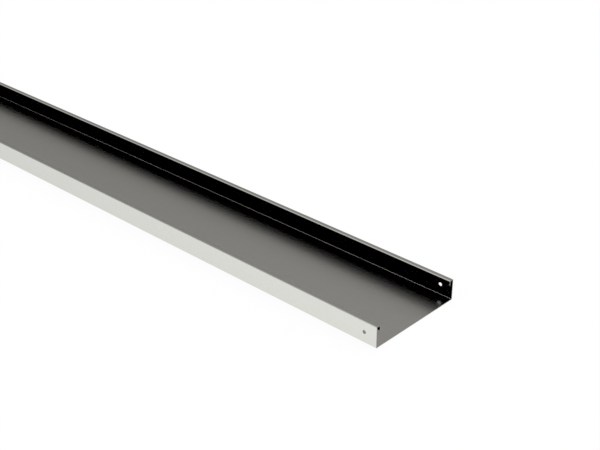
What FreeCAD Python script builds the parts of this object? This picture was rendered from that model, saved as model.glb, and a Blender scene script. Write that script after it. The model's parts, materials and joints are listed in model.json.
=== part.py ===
"""Solid cable tray: one length of unperforated steel channel for carrying cables.

The tray is one strip of steel sheet, roll-formed along its length. From the flat floor a side
wall stands up on each side. The top of each wall is folded sharply in over the tray, and then
rolled down on a wider bend. That leaves a blunt, stiff lip that is safe for cables and hands and
holds a cover. Near each end every wall has one round hole for the bolt that joins this length to
the next one.

Frame: X runs along the tray, Y across it and Z up. The origin is on the underside of the floor,
half way along the length and half way across the width. Sizes are in millimetres.
"""

import FreeCAD, Part
import math
import os
import Sketcher

SIZES = {
    "tray_length": (3000, "overall length, a stock length"),
    "tray_width": (200, "overall width, over the outsides of the walls"),
    "tray_height": (40, "overall height, from the underside to the top of the lips"),
    "sheet_thickness": (1, "thickness of the steel sheet"),
    "floor_bend_radius": (0.5, "inside radius of the bend from floor to wall"),
    "wall_bend_radius": (0.3, "inside radius of the sharp fold from wall to lip"),
    "lip_width": (9, "overall width of a lip, from the outside of the wall"),
    "lip_drop": (10, "overall depth of a lip, from its top to its cut edge"),
    "lip_bend_radius": (1.2, "inside radius of the wide bend at the inner edge of a lip"),
    "hole_diameter": (6.6, "bolt hole, clearance for an M6 bolt"),
    "hole_from_end": (25, "from the end of the tray to the centre of the bolt hole"),
    "hole_height": (20, "from the underside to the centre of the bolt hole"),
}

# how a sketch numbers its own horizontal axis, and the points of a line, an arc or a circle
AXIS_INDEX = -1
START_INDEX = 1
END_INDEX = 2
CENTRE_INDEX = 3

RIGHT_ANGLE = math.pi / 2


def make_sheet(doc):
    """The driving dimensions, one row each: name, size and what it measures."""
    sheet = doc.addObject("Spreadsheet::Sheet", "Sizes")
    for row, (name, (size, meaning)) in enumerate(SIZES.items(), start=1):
        sheet.set(f"A{row}", name)
        sheet.set(f"B{row}", str(size))
        sheet.set(f"C{row}", meaning)
        sheet.setAlias(f"B{row}", name)
    doc.recompute()
    return sheet


def origin_plane(body, role):
    """One of the three origin planes of a body, such as XY_Plane."""
    return next(plane for plane in body.Origin.OriginFeatures if plane.Role == role)


def new_sketch(body, name, role):
    """An empty sketch that lies in an origin plane of the body."""
    sketch = body.newObject("Sketcher::SketchObject", name)
    sketch.AttachmentSupport = [(origin_plane(body, role), "")]
    sketch.MapMode = "FlatFace"
    return sketch


def bind(sketch, name, constraint, expression):
    """Adds a dimension to a sketch, names it and ties it to the sheet of sizes."""
    index = sketch.addConstraint(constraint)
    sketch.renameConstraint(index, name)
    sketch.setExpression(f"Constraints.{name}", expression)


def draw_half_section(sketch, sizes):
    """The cross-section of the sheet on the +Y side, from the middle of the floor to the lip.

    It is one closed outline: along the underside, round the outside of the three bends to the
    cut edge of the lip, and back along the inside. Sketch x is the tray's Y and sketch y its Z.
    """
    half, high, thick = sizes.tray_width / 2, sizes.tray_height, sizes.sheet_thickness
    inner, drop = half - sizes.lip_width, high - sizes.lip_drop
    floor_turn = sizes.floor_bend_radius + thick
    wall_turn = sizes.wall_bend_radius + thick
    lip_turn = sizes.lip_bend_radius + thick
    start, end, centre = START_INDEX, END_INDEX, CENTRE_INDEX

    def line(x1, y1, x2, y2):
        return sketch.addGeometry(
            Part.LineSegment(FreeCAD.Vector(x1, y1, 0), FreeCAD.Vector(x2, y2, 0))
        )

    def bend(x, y, radius, quarter):
        """A quarter circle; quarter 0 runs from the +x side of its centre to the +y side."""
        circle = Part.Circle(FreeCAD.Vector(x, y, 0), FreeCAD.Vector(0, 0, 1), radius)
        turn = Part.ArcOfCircle(circle, quarter * RIGHT_ANGLE, (quarter + 1) * RIGHT_ANGLE)
        return sketch.addGeometry(turn)

    corner_x = half - floor_turn
    wall_x, wall_y = half - wall_turn, high - wall_turn
    lip_x, lip_y = inner + lip_turn, high - lip_turn
    underside = line(0, 0, corner_x, 0)
    floor_outer = bend(corner_x, floor_turn, floor_turn, 3)
    wall_outer = line(half, floor_turn, half, wall_y)
    top_outer = bend(wall_x, wall_y, wall_turn, 0)
    lip_top = line(wall_x, high, lip_x, high)
    lip_outer = bend(lip_x, lip_y, lip_turn, 1)
    leg_face = line(inner, lip_y, inner, drop)
    cut_edge = line(inner, drop, inner + thick, drop)
    leg_back = line(inner + thick, drop, inner + thick, lip_y)
    lip_inner = bend(lip_x, lip_y, sizes.lip_bend_radius, 1)
    lip_under = line(lip_x, high - thick, wall_x, high - thick)
    top_inner = bend(wall_x, wall_y, sizes.wall_bend_radius, 0)
    wall_inner = line(half - thick, wall_y, half - thick, floor_turn)
    floor_inner = bend(corner_x, floor_turn, sizes.floor_bend_radius, 3)
    floor_top = line(corner_x, thick, 0, thick)
    middle = line(0, thick, 0, 0)

    for level in (underside, lip_top, cut_edge, lip_under, floor_top):
        sketch.addConstraint(Sketcher.Constraint("Horizontal", level))
    for upright in (wall_outer, leg_face, leg_back, wall_inner, middle):
        sketch.addConstraint(Sketcher.Constraint("Vertical", upright))
    # each pair runs smoothly from the first piece's end into the second's start, whichever
    # way round the arc was drawn
    for first, first_end, second, second_end in (
        (underside, end, floor_outer, start),
        (floor_outer, end, wall_outer, start),
        (wall_outer, end, top_outer, start),
        (top_outer, end, lip_top, start),
        (lip_top, end, lip_outer, start),
        (lip_outer, end, leg_face, start),
        (leg_back, end, lip_inner, end),
        (lip_inner, start, lip_under, start),
        (lip_under, end, top_inner, end),
        (top_inner, start, wall_inner, start),
        (wall_inner, end, floor_inner, end),
        (floor_inner, start, floor_top, start),
    ):
        sketch.addConstraint(
            Sketcher.Constraint("Tangent", first, first_end, second, second_end)
        )
    for first, second in (
        (leg_face, cut_edge),
        (cut_edge, leg_back),
        (floor_top, middle),
        (middle, underside),
    ):
        sketch.addConstraint(Sketcher.Constraint("Coincident", first, end, second, start))
    # the inside and the outside of a bend share their centre
    for outside, inside in (
        (floor_outer, floor_inner),
        (top_outer, top_inner),
        (lip_outer, lip_inner),
    ):
        sketch.addConstraint(
            Sketcher.Constraint("Coincident", outside, centre, inside, centre)
        )
    sketch.addConstraint(
        Sketcher.Constraint("Coincident", underside, start, AXIS_INDEX, start)
    )

    def distance(name, kind, from_geometry, from_point, to_geometry, to_point, size, expression):
        constraint = Sketcher.Constraint(
            kind, from_geometry, from_point, to_geometry, to_point, size
        )
        bind(sketch, name, constraint, expression)

    distance(
        "half_width", "DistanceX", underside, start, wall_outer, start, half,
        "Sizes.tray_width / 2",
    )
    distance(
        "height", "DistanceY", underside, start, lip_top, start, high, "Sizes.tray_height"
    )
    distance(
        "lip_width", "DistanceX", leg_face, start, wall_outer, end, half - inner,
        "Sizes.lip_width",
    )
    distance(
        "lip_drop", "DistanceY", leg_face, end, lip_top, start, high - drop, "Sizes.lip_drop"
    )
    distance(
        "floor_thickness", "DistanceY", middle, end, middle, start, thick,
        "Sizes.sheet_thickness",
    )
    for name, turn, radius, expression in (
        ("floor_bend", floor_inner, sizes.floor_bend_radius, "Sizes.floor_bend_radius"),
        ("wall_bend", top_inner, sizes.wall_bend_radius, "Sizes.wall_bend_radius"),
        ("lip_bend", lip_inner, sizes.lip_bend_radius, "Sizes.lip_bend_radius"),
    ):
        bind(sketch, name, Sketcher.Constraint("Radius", turn, radius), expression)


def form_channel(body, sizes):
    """The formed sheet before its holes: half of the section run along the length, mirrored."""
    section = new_sketch(body, "HalfSection", "YZ_Plane")
    draw_half_section(section, sizes)
    half = body.newObject("PartDesign::Pad", "HalfChannel")
    half.Profile = section
    half.setExpression("Length", "Sizes.tray_length")
    half.Midplane = True
    body.Document.recompute()
    whole = body.newObject("PartDesign::Mirrored", "Channel")
    whole.Originals = [half]
    whole.MirrorPlane = (origin_plane(body, "XZ_Plane"), [""])
    body.Tip = whole
    body.Document.recompute()
    return whole


def punch_holes(body, sizes):
    """One bolt hole through both walls near one end, and the same near the other end."""
    place = new_sketch(body, "HolePlace", "XZ_Plane")
    along = sizes.tray_length / 2 - sizes.hole_from_end
    centre = FreeCAD.Vector(along, sizes.hole_height, 0)
    normal = FreeCAD.Vector(0, 0, 1)
    hole = place.addGeometry(Part.Circle(centre, normal, sizes.hole_diameter / 2))
    for name, kind, distance, expression in (
        ("along", "DistanceX", along, "Sizes.tray_length / 2 - Sizes.hole_from_end"),
        ("up", "DistanceY", sizes.hole_height, "Sizes.hole_height"),
    ):
        from_origin = Sketcher.Constraint(
            kind, AXIS_INDEX, START_INDEX, hole, CENTRE_INDEX, distance
        )
        bind(place, name, from_origin, expression)
    bind(
        place, "diameter",
        Sketcher.Constraint("Diameter", hole, sizes.hole_diameter),
        "Sizes.hole_diameter",
    )
    punch = body.newObject("PartDesign::Pocket", "EndHoles")
    punch.Profile = place
    punch.Type = "ThroughAll"
    punch.Midplane = True
    body.Document.recompute()
    both = body.newObject("PartDesign::Mirrored", "BothEndsHoles")
    both.Originals = [punch]
    both.MirrorPlane = (origin_plane(body, "YZ_Plane"), [""])
    body.Tip = both
    body.Document.recompute()
    return both


def check(doc):
    """Stops if a feature failed, or if the tray isn't one sound solid."""
    failed = [o.Name for o in doc.Objects if {"Invalid", "Error"} & set(o.State)]
    if failed:
        raise RuntimeError(f"these objects failed: {failed}")
    for sketch in doc.findObjects("Sketcher::SketchObject"):
        if not sketch.FullyConstrained:
            raise RuntimeError(f"sketch {sketch.Name} has free geometry")
    for body in doc.findObjects("PartDesign::Body"):
        shape = body.Shape
        if shape.isNull() or not shape.isValid() or len(shape.Solids) != 1:
            raise RuntimeError(f"{body.Label} isn't one valid solid")


def main():
    doc = FreeCAD.newDocument("SolidCableTray")
    sizes = make_sheet(doc)
    body = doc.addObject("PartDesign::Body", "CableTray")
    body.Label = "cable_tray"
    channel = form_channel(body, sizes)
    formed = channel.Shape.Volume
    punched = punch_holes(body, sizes)
    doc.recompute()
    check(doc)

    removed = formed - punched.Shape.Volume
    box = body.Shape.BoundBox
    print(f"cable_tray {box.XLength:.2f} x {box.YLength:.2f} x {box.ZLength:.2f} mm")
    print(f"volume {body.Shape.Volume:.1f} mm3, holes took {removed:.1f} mm3")
    if removed <= 0:
        raise RuntimeError("the holes cut nothing")

    os.makedirs("parts", exist_ok=True)
    body.Shape.exportStep(f"parts/{body.Label}.step")


main()
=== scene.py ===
# %% [markdown]
# A solid cable tray in zinc-coated sheet steel
#
# The real tray starts as a flat strip of steel from a coil. It runs through pairs of rollers that
# bend it a little at a time: first the two walls stand up, then their tops fold in over the tray,
# and then the inner edge of each lip rolls down. The strip is punched for its joint bolts and
# sheared to length. Nothing is added to it afterwards.
#
# This lesson follows the same order. It draws the outside of the sheet as a flat strip, folds it,
# rounds the folds, and only then gives the sheet its thickness. After that come the holes, the
# sheared edges, the zinc finish, the studio and the camera.

# %% [markdown]
# The frame
#
# Every measure starts from the engineering model of the tray. Loading it first gives the box that
# the finished tray has to fill, in metres, so nothing has to be fitted afterwards.

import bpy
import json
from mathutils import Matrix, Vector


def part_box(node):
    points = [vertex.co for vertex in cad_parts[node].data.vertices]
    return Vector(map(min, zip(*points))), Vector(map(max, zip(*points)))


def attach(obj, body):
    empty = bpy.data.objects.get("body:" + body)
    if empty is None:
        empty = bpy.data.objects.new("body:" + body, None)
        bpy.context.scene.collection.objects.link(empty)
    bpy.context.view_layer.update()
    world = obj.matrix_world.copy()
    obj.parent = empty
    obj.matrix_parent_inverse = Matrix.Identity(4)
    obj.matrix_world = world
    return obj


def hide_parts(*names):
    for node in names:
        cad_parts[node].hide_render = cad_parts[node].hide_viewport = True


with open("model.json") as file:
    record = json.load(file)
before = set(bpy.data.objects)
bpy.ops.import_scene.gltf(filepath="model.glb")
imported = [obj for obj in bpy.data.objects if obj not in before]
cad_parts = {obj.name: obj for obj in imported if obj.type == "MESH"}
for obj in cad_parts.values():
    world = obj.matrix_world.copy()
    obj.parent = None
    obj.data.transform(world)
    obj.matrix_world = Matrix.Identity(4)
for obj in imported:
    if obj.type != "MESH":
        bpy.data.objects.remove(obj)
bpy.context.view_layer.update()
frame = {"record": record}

# %% Import what the script uses
import json
import math

import bpy

# %% [markdown]
# The sizes
#
# The overall size and the bolt holes are read from the frame, because the tray has to match them.
# The sheet itself is described by its gauge and by the radius of each bend, which a maker sets by
# the rollers. The radii are measured on the inside of the bend, as they are on a drawing. The fold
# at the top of the wall is almost sharp and the roll at the inner edge of the lip is wide, and the
# width of the highlights in the picture shows that difference.

# %% Read the tray's size and its holes
MM = 0.001

tray_low, tray_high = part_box("cable_tray")
LENGTH, WIDTH, HEIGHT = tray_high - tray_low
joint_holes = next(
    mount for mount in frame["record"]["mounts"] if mount["name"] == "joint_holes_left"
)
HOLE_RADIUS = joint_holes["dims"]["hole_r_mm"] * MM
HOLE_ALONG = joint_holes["dims"]["spacing_x_mm"] * MM / 2
HOLE_UP = joint_holes["pos_m"][2]
print(f"tray {LENGTH:.3f} x {WIDTH:.3f} x {HEIGHT:.3f} m, holes at x {HOLE_ALONG:.3f} m")

# %% Name the sheet and its bends
SHEET = 1.0 * MM
FLOOR_BEND = 0.5 * MM
WALL_FOLD = 0.3 * MM
LIP_ROLL = 1.2 * MM
LIP_WIDTH = 9.0 * MM
LIP_DROP = 10.0 * MM
HALF_LENGTH = LENGTH / 2
HALF_WIDTH = WIDTH / 2
LIP_INNER = HALF_WIDTH - LIP_WIDTH
LEG_END = HEIGHT - LIP_DROP
CLOSE = 0.01 * MM
print(f"sheet {SHEET / MM:.1f} mm thick")
print(f"lip {LIP_WIDTH / MM:.0f} mm wide, with a drop of {LIP_DROP / MM:.0f} mm")

# %% [markdown]
# Choosing what an operator acts on
#
# By hand, edges and faces are picked with the mouse. A script picks them by where they are. One
# helper does that for the whole lesson: it asks a question of each point of an edge or a face and
# selects the ones where every point says yes. It goes through object mode, because that is where
# a script can set the selection of a mesh.

# %% A helper that selects by place
def choose(piece, kind, wanted):
    """Selects the edges or faces whose points all pass a test, in edit mode, and counts them."""
    bpy.ops.mesh.select_mode(type=kind)
    bpy.ops.mesh.select_all(action="DESELECT")
    bpy.ops.object.mode_set(mode="OBJECT")
    mesh = piece.data
    chosen = 0
    for item in mesh.edges if kind == "EDGE" else mesh.polygons:
        item.select = all(wanted(mesh.vertices[index].co) for index in item.vertices)
        chosen += item.select
    bpy.ops.object.mode_set(mode="EDIT")
    return chosen


def near(value, target):
    """True if two measures are the same to a hundredth of a millimetre."""
    return abs(value - target) < CLOSE


# %% [markdown]
# The flat strip
#
# A plane is the natural start for sheet metal. It could be the inside or the outside of the sheet.
# The outside is the better choice, because the overall sizes are measured there. A new plane faces
# up, and the outside of the floor is its underside, so the plane is turned over first. Everything
# that is extruded from it then faces outwards too.

# %% Lay out the underside of the floor
bpy.ops.object.select_all(action="DESELECT")
bpy.ops.mesh.primitive_plane_add(size=1, location=(0, 0, 0))
tray = bpy.context.object
tray.name = "tray_sheet"
tray.data.name = "tray_sheet"

bpy.ops.object.mode_set(mode="EDIT")
bpy.ops.mesh.select_all(action="SELECT")
bpy.ops.transform.resize(value=(LENGTH, WIDTH, 1))
bpy.ops.mesh.flip_normals()
tray.update_from_editmode()
print("the strip faces", "down" if tray.data.polygons[0].normal.z < 0 else "up")

# %% [markdown]
# The walls and the lips
#
# Each fold is one extrusion of an edge. A long edge of the floor goes straight up as the wall. Its
# top edge then goes in over the floor as the flat of the lip, and the new edge goes down as the
# leg. The lips of the two sides point opposite ways, so a loop makes one side and then the other.
# The leg stops 10 mm down, and its cut edge hangs free.

# %% Raise the walls
for side in (-1, 1):
    edges = choose(tray, "EDGE", lambda point: near(point.y, side * HALF_WIDTH))
    bpy.ops.mesh.extrude_edges_move(TRANSFORM_OT_translate={"value": (0, 0, HEIGHT)})
    print("long edges raised on this side:", edges)

# %% Fold the lips
for side in (-1, 1):
    choose(
        tray, "EDGE",
        lambda point: near(point.y, side * HALF_WIDTH) and near(point.z, HEIGHT),
    )
    inwards = (0, -side * LIP_WIDTH, 0)
    bpy.ops.mesh.extrude_edges_move(TRANSFORM_OT_translate={"value": inwards})
    bpy.ops.mesh.extrude_edges_move(TRANSFORM_OT_translate={"value": (0, 0, -LIP_DROP)})
bpy.ops.object.mode_set(mode="OBJECT")
print("faces of the folded strip:", len(tray.data.polygons))

# %% [markdown]
# Lines across the strip
#
# A bolt hole cut into a wall that is one face 3 m long would leave very long thin slivers around
# it. Two lines across the strip at each end, a little way before the hole and a little way after
# it, keep the hole in a small face of its own. Bisect draws such a line without opening the sheet.

# %% Divide the strip on both sides of each hole
HOLE_MARGIN = 12 * MM
bpy.ops.object.mode_set(mode="EDIT")
for end in (-1, 1):
    for beside in (-HOLE_MARGIN, HOLE_MARGIN):
        bpy.ops.mesh.select_all(action="SELECT")
        bpy.ops.mesh.bisect(plane_co=(end * HOLE_ALONG + beside, 0, 0), plane_no=(1, 0, 0))
bpy.ops.object.mode_set(mode="OBJECT")
print("faces after the divisions:", len(tray.data.polygons))

# %% [markdown]
# The bends
#
# A folded sheet is never sharp on the outside: the outer radius is the inner one plus the gauge.
# Rounding each fold with a bevel before the sheet has its thickness is simpler than rounding the
# inside and the outside apart, because the two can't disagree. At a right angle the offset of a
# bevel is the radius of its arc. The wide roll gets more segments than the two tight folds.

# %% Round the folds
TIGHT_SEGMENTS = 8
WIDE_SEGMENTS = 12
BENDS = {
    "floor bend": (HALF_WIDTH, 0.0, FLOOR_BEND, TIGHT_SEGMENTS),
    "wall fold": (HALF_WIDTH, HEIGHT, WALL_FOLD, TIGHT_SEGMENTS),
    "lip roll": (LIP_INNER, HEIGHT, LIP_ROLL, WIDE_SEGMENTS),
}
bpy.ops.object.mode_set(mode="EDIT")
for name, (across, up, inside_radius, segments) in BENDS.items():
    edges = choose(
        tray, "EDGE", lambda point: near(abs(point.y), across) and near(point.z, up)
    )
    bpy.ops.mesh.bevel(
        offset_type="OFFSET", offset=inside_radius + SHEET, segments=segments, profile=0.5,
        affect="EDGES",
    )
    print(f"{name}: {edges} edges rounded to {(inside_radius + SHEET) / MM:.1f} mm outside")
bpy.ops.object.mode_set(mode="OBJECT")

# %% [markdown]
# The thickness
#
# Solidify turns the skin into a sheet. The skin is the outside, so the thickness goes inwards, and
# the even setting keeps the gauge the same round every bend.

# %% Give the sheet its gauge
solidify = tray.modifiers.new("gauge", "SOLIDIFY")
solidify.thickness = SHEET
solidify.offset = -1
solidify.use_even_offset = True
bpy.ops.object.modifier_apply(modifier=solidify.name)
print("faces of the sheet:", len(tray.data.polygons))

# %% [markdown]
# The bolt holes
#
# The press punches both walls near each end, so one long punch through both walls is the honest
# tool. It is a cylinder laid across the tray, taken away with a boolean. Its 64 sides are enough
# for a round rim at any distance. The punch itself is removed after use.

# %% Punch the holes
HOLE_SIDES = 64
for end in (-1, 1):
    bpy.ops.object.select_all(action="DESELECT")
    bpy.ops.mesh.primitive_cylinder_add(
        vertices=HOLE_SIDES, radius=HOLE_RADIUS, depth=WIDTH + HEIGHT,
        location=(end * HOLE_ALONG, 0, HOLE_UP), rotation=(math.radians(90), 0, 0),
    )
    punch = bpy.context.object
    cut = tray.modifiers.new("punch", "BOOLEAN")
    cut.operation = "DIFFERENCE"
    cut.solver = "EXACT"
    cut.object = punch
    bpy.ops.object.select_all(action="DESELECT")
    tray.select_set(True)
    bpy.context.view_layer.objects.active = tray
    bpy.ops.object.modifier_apply(modifier=cut.name)
    bpy.data.objects.remove(punch)
print("faces with the holes:", len(tray.data.polygons))

# %% [markdown]
# The sheared edges
#
# A shear or a punch leaves an edge that is square but not razor sharp: its corner is turned by
# about a tenth of a millimetre. It is far too small to see as a shape from across a room, yet it
# is what catches a thin line of light when the tray is held close. The sharp edges are found by
# their angle, because the bends are made of small angles and only the cut edges turn by 90 degrees.

# %% Ease the cut edges
EASED = 0.12 * MM
EASED_SEGMENTS = 2
SHARP = math.radians(60)
bpy.ops.object.mode_set(mode="EDIT")
bpy.ops.mesh.select_mode(type="EDGE")
bpy.ops.mesh.select_all(action="DESELECT")
bpy.ops.mesh.edges_select_sharp(sharpness=SHARP)
bpy.ops.mesh.bevel(
    offset_type="OFFSET", offset=EASED, segments=EASED_SEGMENTS, profile=0.5, affect="EDGES",
    clamp_overlap=True,
)
bpy.ops.object.mode_set(mode="OBJECT")
print("faces with eased edges:", len(tray.data.polygons))

# %% [markdown]
# Smooth shading
#
# The bends should shade as true curves and the flats as true flats. Smoothing by angle does the
# first. It also tilts the normals at the edge of a flat a little towards the bend, which would
# draw a false gradient across a mirror-like wall. Normals weighted by face size put that right,
# because a large flat face then decides for the points it shares with a narrow one.

# %% Shade the sheet
SMOOTH_UNDER = math.radians(50)
bpy.ops.object.shade_smooth_by_angle(angle=SMOOTH_UNDER)
weighted = tray.modifiers.new("flat faces decide", "WEIGHTED_NORMAL")
weighted.mode = "FACE_AREA"
weighted.weight = 100
weighted.keep_sharp = True
bpy.ops.object.modifier_apply(modifier=weighted.name)
corners = [tray.matrix_world @ vertex.co for vertex in tray.data.vertices]
for axis, name in enumerate("xyz"):
    values = [corner[axis] for corner in corners]
    print(f"tray {name}: {min(values):.4f} to {max(values):.4f} m")

# %% [markdown]
# Colours and nodes
#
# Two small helpers serve every material. Colours are written the way a paint chart or a picture
# editor gives them, as hex values in sRGB, and Blender's sockets want linear light, so one function
# turns one into the other. The other adds a node to a tree with its settings and its links.

# %% Helpers for colours and nodes
def linear(hex_colour):
    """An sRGB colour such as C8C8C4 as the linear RGBA that a socket takes."""
    channels = [int(hex_colour[start:start + 2], 16) / 255 for start in (0, 2, 4)]
    light = [c / 12.92 if c <= 0.04045 else ((c + 0.055) / 1.055) ** 2.4 for c in channels]
    return (*light, 1)


def add_node(tree, kind, inputs=None, **settings):
    """Adds a node. Inputs are values or the sockets to link from; settings are its properties."""
    node = tree.nodes.new(kind)
    for name, value in settings.items():
        setattr(node, name, value)
    for socket, value in (inputs or {}).items():
        if isinstance(value, bpy.types.NodeSocket):
            tree.links.new(value, node.inputs[socket])
        else:
            node.inputs[socket].default_value = value
    return node


# %% [markdown]
# The zinc coating
#
# The strip is galvanised in the coil, before it is formed: it runs through molten zinc and is then
# pressed by a smooth roller. That leaves a bare metal surface in a very even light grey, with no
# paint and no clear spangle. To the eye it is a soft mirror. The middle of the floor keeps the
# mill's satin finish. The rollers that bend the strip press on it near the bends and rub the walls,
# the lips and the sides of the floor brighter, so their reflections are sharper. One material can
# hold both, if its roughness is read from how far a point is from the middle of the tray.
#
# Rolling also draws the surface out along the strip. Two patterns show that: hair-fine lines in the
# rolling direction, which only tilt the surface by a fraction of a degree, and a faint mottle of
# zinc grains a few millimetres across. The lines are really about 0.1 mm apart. They are drawn
# 0.6 mm apart, because finer ones vanish between the pixels.

# %% Name the zinc finish
ZINC = "DDDDD8"
WALL_ROUGHNESS = 0.11
FLOOR_ROUGHNESS = 0.30
BURNISHED_WIDTH = 10 * MM
SATIN_BEYOND = 40 * MM
LINE_SPACING = 0.6 * MM
LINE_LENGTH = 60 * MM
LINE_DEPTH = 0.0003 * MM
GRAIN_SIZE = 4 * MM
GRAIN_CONTRAST = 0.015

print("zinc in linear light:", [round(value, 3) for value in linear(ZINC)])

# %% Roughness: satin in the middle, burnished at the sides
zinc = bpy.data.materials.new("zinc_coated_steel")
zinc.use_nodes = True
tree = zinc.node_tree
tree.nodes.clear()
place = add_node(tree, "ShaderNodeTexCoord").outputs["Object"]
across = add_node(tree, "ShaderNodeSeparateXYZ", {"Vector": place}).outputs["Y"]
from_middle = add_node(tree, "ShaderNodeMath", {0: across}, operation="ABSOLUTE").outputs[0]
burnished = add_node(
    tree, "ShaderNodeMapRange",
    {
        "Value": from_middle,
        "From Min": HALF_WIDTH - SATIN_BEYOND, "From Max": HALF_WIDTH - BURNISHED_WIDTH,
        "To Min": FLOOR_ROUGHNESS, "To Max": WALL_ROUGHNESS,
    },
    interpolation_type="SMOOTHSTEP",
).outputs["Result"]
print(f"roughness {FLOOR_ROUGHNESS} on the middle of the floor, {WALL_ROUGHNESS} on the walls")

# %% Colour: a faint mottle of grains
grains = add_node(
    tree, "ShaderNodeTexVoronoi",
    {"Vector": place, "Scale": 1 / GRAIN_SIZE, "Randomness": 1.0},
    feature="SMOOTH_F1",
)
grain_colour = add_node(
    tree, "ShaderNodeMapRange",
    {
        "Value": add_node(
            tree, "ShaderNodeSeparateColor", {"Color": grains.outputs["Color"]}
        ).outputs["Red"],
        "To Min": 1 - GRAIN_CONTRAST, "To Max": 1 + GRAIN_CONTRAST,
    },
).outputs["Result"]
colour = add_node(
    tree, "ShaderNodeVectorMath", {0: linear(ZINC)[:3], "Scale": grain_colour},
    operation="SCALE",
).outputs["Vector"]
print(f"grains of {GRAIN_SIZE / MM:.0f} mm, lighter and darker by {GRAIN_CONTRAST:.1%}")

# %% Relief: fine lines along the tray
stretched = add_node(
    tree, "ShaderNodeMapping",
    {"Vector": place, "Scale": (1 / LINE_LENGTH, 1 / LINE_SPACING, 1 / LINE_SPACING)},
).outputs["Vector"]
lines = add_node(
    tree, "ShaderNodeTexNoise", {"Vector": stretched, "Scale": 1.0, "Detail": 2.0}
).outputs["Fac"]
relief = add_node(
    tree, "ShaderNodeBump", {"Height": lines, "Distance": LINE_DEPTH, "Strength": 1.0}
).outputs["Normal"]
print(f"lines {LINE_SPACING / MM:.1f} mm apart and {LINE_LENGTH / MM:.0f} mm long")

# %% Put the zinc coating together
steel = add_node(
    tree, "ShaderNodeBsdfPrincipled",
    {"Base Color": colour, "Metallic": 1.0, "Roughness": burnished, "Normal": relief},
)
add_node(tree, "ShaderNodeOutputMaterial", {"Surface": steel.outputs["BSDF"]})
tray.data.materials.append(zinc)
print("nodes in", zinc.name, len(tree.nodes))

# %% [markdown]
# The sheared steel
#
# Shearing and punching cut through the coating, so the ends, the free edge of each lip and the
# bores of the holes show the steel inside. It is a little darker than zinc and torn rather than
# rolled, which makes it matt. It gets a material of its own, and the faces that wear it are found
# by where they are: at the two ends, along the edge of the leg and inside the holes.

# %% Make the sheared steel
SHEARED = "B4B2AE"
SHEARED_ROUGHNESS = 0.45
TEAR_SIZE = 0.3 * MM
TEAR_DEPTH = 0.01 * MM

sheared = bpy.data.materials.new("sheared_steel")
sheared.use_nodes = True
tree = sheared.node_tree
tree.nodes.clear()
place = add_node(tree, "ShaderNodeTexCoord").outputs["Object"]
tears = add_node(
    tree, "ShaderNodeTexNoise", {"Vector": place, "Scale": 1 / TEAR_SIZE, "Detail": 3.0}
).outputs["Fac"]
torn = add_node(
    tree, "ShaderNodeBump", {"Height": tears, "Distance": TEAR_DEPTH, "Strength": 0.5}
).outputs["Normal"]
cut_steel = add_node(
    tree, "ShaderNodeBsdfPrincipled",
    {
        "Base Color": linear(SHEARED), "Metallic": 1.0, "Roughness": SHEARED_ROUGHNESS,
        "Normal": torn,
    },
)
add_node(tree, "ShaderNodeOutputMaterial", {"Surface": cut_steel.outputs["BSDF"]})
tray.data.materials.append(sheared)
print("nodes in", sheared.name, len(tree.nodes))


# %% A test for the points of a cut face
def is_cut(point):
    """True for a point of an end face, of the free edge of a lip or of the bore of a hole."""
    at_end = abs(point.x) > HALF_LENGTH - EASED - CLOSE
    at_leg_edge = abs(point.z - LEG_END) < EASED + CLOSE and abs(point.y) < HALF_WIDTH - SHEET * 2
    from_hole = math.hypot(abs(point.x) - HOLE_ALONG, point.z - HOLE_UP)
    in_bore = from_hole < HOLE_RADIUS + EASED + CLOSE and abs(point.y) > HALF_WIDTH - SHEET * 2
    return at_end or at_leg_edge or in_bore


# %% Give the cut faces the sheared steel
bpy.ops.object.mode_set(mode="EDIT")
cut_faces = choose(tray, "FACE", is_cut)
tray.active_material_index = tray.data.materials.find(sheared.name)
bpy.ops.object.material_slot_assign()
bpy.ops.object.mode_set(mode="OBJECT")
print("faces of sheared steel:", cut_faces)

# %% [markdown]
# Joining the frame
#
# The modelled tray stands for the plain one of the engineering model. It has no moving parts, so it
# rides on the one body that there is.

# %% Put the tray in the frame
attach(tray, "root")
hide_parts("cable_tray")
print(tray.name, "replaces cable_tray on the body root")

# %% [markdown]
# The floor of the studio
#
# Bare metal has almost no colour of its own: what is seen on it is the room. So the room matters
# more here than on any painted thing. The tray lies on a white floor that runs out of the picture
# on all sides. The camera sees it as plain white, and a small share of it takes real light, so that
# it keeps the soft shadow of the tray. The steel mirrors it as white too, a little darker towards
# the far end of the tray, where the light of the studio falls off.
#
# Only the first reflection finds the white floor, and a second one finds black. That is what makes
# the inside of the far wall black in the picture: the wall mirrors the floor of the tray, and what
# that floor would mirror in turn is left out. Light Path tells the material which case it is in.
# The material must also not be sampled as a lamp, because such light would skip that count.

# %% Lay the studio floor
STUDIO_SIZE = 60.0
FLOOR_GAP = 0.2 * MM
FLOOR_WHITE = "FFFFFF"
SHADOW_SHARE = 0.06
FLOOR_NEAR = (1.5, 1.0)
FLOOR_FAR = (-0.5, 0.79)
FIRST_ON_FLOOR = 1.5

bpy.ops.object.select_all(action="DESELECT")
bpy.ops.mesh.primitive_plane_add(size=STUDIO_SIZE, location=(0, 0, 0))
floor = bpy.context.object
floor.name = "studio_floor"
bpy.ops.object.mode_set(mode="EDIT")
bpy.ops.mesh.select_all(action="SELECT")
bpy.ops.transform.translate(value=(0, 0, -FLOOR_GAP))
bpy.ops.object.mode_set(mode="OBJECT")
print(f"floor {STUDIO_SIZE:.0f} m wide, {FLOOR_GAP / MM:.1f} mm under the tray")

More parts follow.
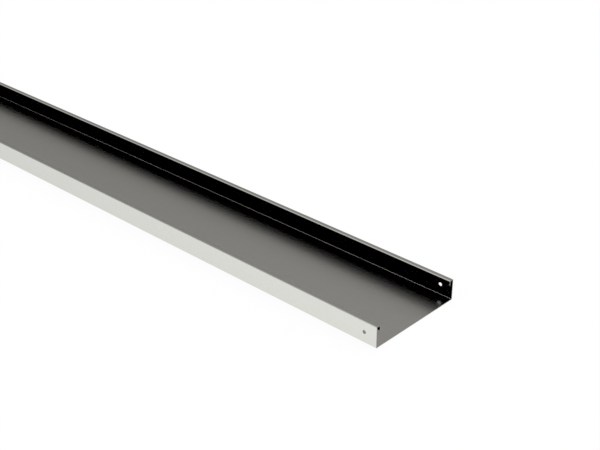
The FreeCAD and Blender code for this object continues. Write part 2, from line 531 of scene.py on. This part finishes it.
# %% Tell the first reflection from the deeper ones
paper = bpy.data.materials.new("white_studio_floor")
paper.use_nodes = True
tree = paper.node_tree
tree.nodes.clear()
path = add_node(tree, "ShaderNodeLightPath")
first = add_node(
    tree, "ShaderNodeMath", {0: path.outputs["Ray Depth"], 1: FIRST_ON_FLOOR},
    operation="LESS_THAN",
).outputs[0]
glossy_first = add_node(
    tree, "ShaderNodeMath", {0: path.outputs["Is Glossy Ray"], 1: first}, operation="MULTIPLY"
).outputs[0]
seen = add_node(
    tree, "ShaderNodeMath", {0: path.outputs["Is Camera Ray"], 1: glossy_first},
    operation="ADD",
).outputs[0]
seen_too = add_node(
    tree, "ShaderNodeMath", {0: seen, 1: path.outputs["Is Transmission Ray"]},
    operation="ADD", use_clamp=True,
).outputs[0]
plain_share = add_node(
    tree, "ShaderNodeMath", {0: seen_too, 1: 1 - SHADOW_SHARE}, operation="MULTIPLY"
).outputs[0]
deeper = add_node(
    tree, "ShaderNodeMath", {0: path.outputs["Is Glossy Ray"], 1: glossy_first},
    operation="SUBTRACT",
).outputs[0]
print(f"the camera sees {1 - SHADOW_SHARE:.0%} plain white and {SHADOW_SHARE:.0%} real light")

# %% Mix the part that takes light
lit_colour = add_node(
    tree, "ShaderNodeMix",
    {"Factor": deeper, "A": linear(FLOOR_WHITE), "B": linear("000000")},
    data_type="RGBA",
).outputs[2]
lit = add_node(tree, "ShaderNodeBsdfDiffuse", {"Color": lit_colour})

# %% Mix the plain white, a little darker in the steel towards the far end
along = add_node(
    tree, "ShaderNodeSeparateXYZ",
    {"Vector": add_node(tree, "ShaderNodeTexCoord").outputs["Object"]},
).outputs["X"]
in_steel = add_node(
    tree, "ShaderNodeMapRange",
    {
        "Value": along, "From Min": FLOOR_FAR[0], "From Max": FLOOR_NEAR[0],
        "To Min": FLOOR_FAR[1], "To Max": FLOOR_NEAR[1],
    },
).outputs["Result"]
strength = add_node(
    tree, "ShaderNodeMix", {0: glossy_first, 2: 1.0, 3: in_steel}, data_type="FLOAT"
).outputs[0]
plain = add_node(
    tree, "ShaderNodeEmission", {"Color": linear(FLOOR_WHITE), "Strength": strength}
)
print(f"in the steel the floor is {FLOOR_NEAR[1]:.2f} at the near end, {FLOOR_FAR[1]:.2f} far off")

# %% Put the floor's material together
surface = add_node(
    tree, "ShaderNodeMixShader",
    {0: plain_share, 1: lit.outputs["BSDF"], 2: plain.outputs["Emission"]},
)
add_node(tree, "ShaderNodeOutputMaterial", {"Surface": surface.outputs["Shader"]})
paper.cycles.emission_sampling = "NONE"
floor.data.materials.append(paper)
print("nodes in", paper.name, len(tree.nodes))

# %% [markdown]
# The light
#
# Everything that isn't mirror-like, such as the shaded part of the floor, is lit by a plain pale
# dome and one very wide lamp overhead, together at the level where a colour renders as it is
# written. A wide lamp draws only the softest shadow. Its own reflection would be a hard white
# shape in the steel, which the picture doesn't have, so the steel doesn't show it.

# %% Hang the overhead lamp
DOME_LEVEL = 0.6
LAMP_WIDTH = math.radians(120)
LAMP_HEIGHT = 3.0

bpy.ops.object.light_add(type="SUN", location=(0, 0, LAMP_HEIGHT))
overhead = bpy.context.object
overhead.name = "overhead_light"
overhead.data.angle = LAMP_WIDTH
overhead.data.energy = (1 - DOME_LEVEL) * math.pi
overhead.visible_glossy = False
print(f"the dome gives {DOME_LEVEL:.0%} of the light, the lamp {1 - DOME_LEVEL:.0%}")

# %% [markdown]
# The room
#
# The tray is long and straight, so what a point of it mirrors depends almost only on the angle
# round the tray's own axis: 0 degrees is the horizon beyond the tray, 90 is straight overhead and
# 180 is the horizon behind the camera. One list of angles and brightnesses therefore describes the
# whole room. The side beyond the tray is a soft grey, lighter low down, and the floor and the lips
# of the tray mirror that. A row of soft lamps just past overhead is bright and draws the light line
# along every upper edge. Behind the camera the room is dark. It is darker at its far end too, so
# there is a second list for that end, and the direction along the tray blends the two. The walls of
# the room are a slightly warm grey, which is why the floor of the tray looks warmer than its
# outside, which mirrors the white floor.
#
# As on the floor, only the first reflection sees the room. A ray that leaves the scene counts one
# step more than a ray that meets the floor, so the limit is one higher here. The camera sees white
# in every direction, and matt surfaces take the even light of the dome.

# %% List the brightness of the room
ROOM_NEAR = (
    (0, 0.58), (12, 0.49), (24, 0.335), (48, 0.345), (60, 0.275), (75, 0.37), (90, 0.67),
    (110, 0.95), (130, 0.92), (150, 0.64), (165, 0.36), (180, 0.18),
)
ROOM_FAR = (
    (0, 0.36), (12, 0.30), (24, 0.20), (36, 0.245), (60, 0.265), (75, 0.44), (90, 0.66),
    (110, 0.64), (130, 0.38), (150, 0.20), (165, 0.12), (180, 0.10),
)
TOWARDS_FAR = (-0.4, -0.9)
BELOW_HORIZON = 0.97
ROOM_TINT = "FFFCFA"
FIRST_IN_ROOM = FIRST_ON_FLOOR + 1
print("the room in", len(ROOM_NEAR), "angles at the near end and", len(ROOM_FAR), "at the far end")


# %% A helper for a list of brightnesses
def add_ramp(tree, stops, position):
    """A colour ramp from a list of angles in degrees, 0 to 180, and brightnesses."""
    tint = linear(ROOM_TINT)[:3]
    ramp = add_node(tree, "ShaderNodeValToRGB", {"Fac": position})
    elements = ramp.color_ramp.elements
    for index, (degrees, brightness) in enumerate(stops):
        stop = elements[index] if index == 0 else elements[-1]
        if 0 < index < len(stops) - 1:
            stop = elements.new(degrees / 180)
        stop.position = degrees / 180
        stop.color = (*(brightness * part for part in tint), 1)
    return ramp.outputs["Color"]


# %% Turn each direction into an angle round the tray
world = bpy.data.worlds.new("studio")
bpy.context.scene.world = world
world.use_nodes = True
tree = world.node_tree
tree.nodes.clear()
direction = add_node(tree, "ShaderNodeTexCoord").outputs["Generated"]
parts = add_node(tree, "ShaderNodeSeparateXYZ", {"Vector": direction}).outputs
turned = add_node(
    tree, "ShaderNodeMath", {0: parts["Z"], 1: parts["Y"]}, operation="ARCTAN2"
).outputs[0]
position = add_node(
    tree, "ShaderNodeMath", {0: turned, 1: math.pi}, operation="DIVIDE"
).outputs[0]

# %% Blend the near end and the far end
far_share = add_node(
    tree, "ShaderNodeMapRange",
    {"Value": parts["X"], "From Min": TOWARDS_FAR[0], "From Max": TOWARDS_FAR[1]},
).outputs["Result"]
above = add_node(
    tree, "ShaderNodeMix",
    {
        "Factor": far_share, "A": add_ramp(tree, ROOM_NEAR, position),
        "B": add_ramp(tree, ROOM_FAR, position),
    },
    data_type="RGBA",
).outputs[2]
below = add_node(
    tree, "ShaderNodeMath", {0: parts["Z"], 1: 0.0}, operation="LESS_THAN"
).outputs[0]
in_steel = add_node(
    tree, "ShaderNodeMix", {"Factor": below, "A": above, "B": (BELOW_HORIZON,) * 3 + (1,)},
    data_type="RGBA",
).outputs[2]
print("below the horizon the steel sees", BELOW_HORIZON)

# %% Show the room to the first reflection alone
path = add_node(tree, "ShaderNodeLightPath")
first = add_node(
    tree, "ShaderNodeMath", {0: path.outputs["Ray Depth"], 1: FIRST_IN_ROOM},
    operation="LESS_THAN",
).outputs[0]
room = add_node(tree, "ShaderNodeBackground", {"Color": in_steel, "Strength": first})

# %% Put the world together
dome = add_node(
    tree, "ShaderNodeBackground", {"Color": linear("FFFFFF"), "Strength": DOME_LEVEL}
)
backdrop = add_node(
    tree, "ShaderNodeBackground", {"Color": linear("FFFFFF"), "Strength": 1.0}
)
lighting = add_node(
    tree, "ShaderNodeMixShader",
    {
        0: path.outputs["Is Glossy Ray"], 1: dome.outputs["Background"],
        2: room.outputs["Background"],
    },
)
mixed = add_node(
    tree, "ShaderNodeMixShader",
    {
        0: path.outputs["Is Camera Ray"], 1: lighting.outputs["Shader"],
        2: backdrop.outputs["Background"],
    },
)
add_node(tree, "ShaderNodeOutputWorld", {"Surface": mixed.outputs["Shader"]})
world.cycles.sampling_method = "NONE"
print("nodes in the world", world.name, len(tree.nodes))

# %% [markdown]
# The camera
#
# The picture looks along the tray from beyond its near end and a little above it. The place and the
# lens were found from the straight edges of the tray: where its long edges meet on the horizon
# gives the turn and the tilt, and the apparent size of the end gives the distance.

# %% Place the camera
CAMERA_PLACE = (2.439998, -1.280872, 1.034796)
CAMERA_DOWN = math.radians(28.3843)
CAMERA_TURN = math.radians(43.0815)
LENS = 69.0125
SENSOR_WIDTH = 36

bpy.ops.object.camera_add(
    location=CAMERA_PLACE, rotation=(math.radians(90) - CAMERA_DOWN, 0, CAMERA_TURN)
)
camera = bpy.context.object
camera.name = "camera"
camera.data.sensor_width = SENSOR_WIDTH
camera.data.lens = LENS
bpy.context.scene.camera = camera
bpy.context.scene.view_settings.view_transform = "Standard"
print(f"camera {CAMERA_PLACE[2]:.2f} m up, with a {LENS:.0f} mm lens")
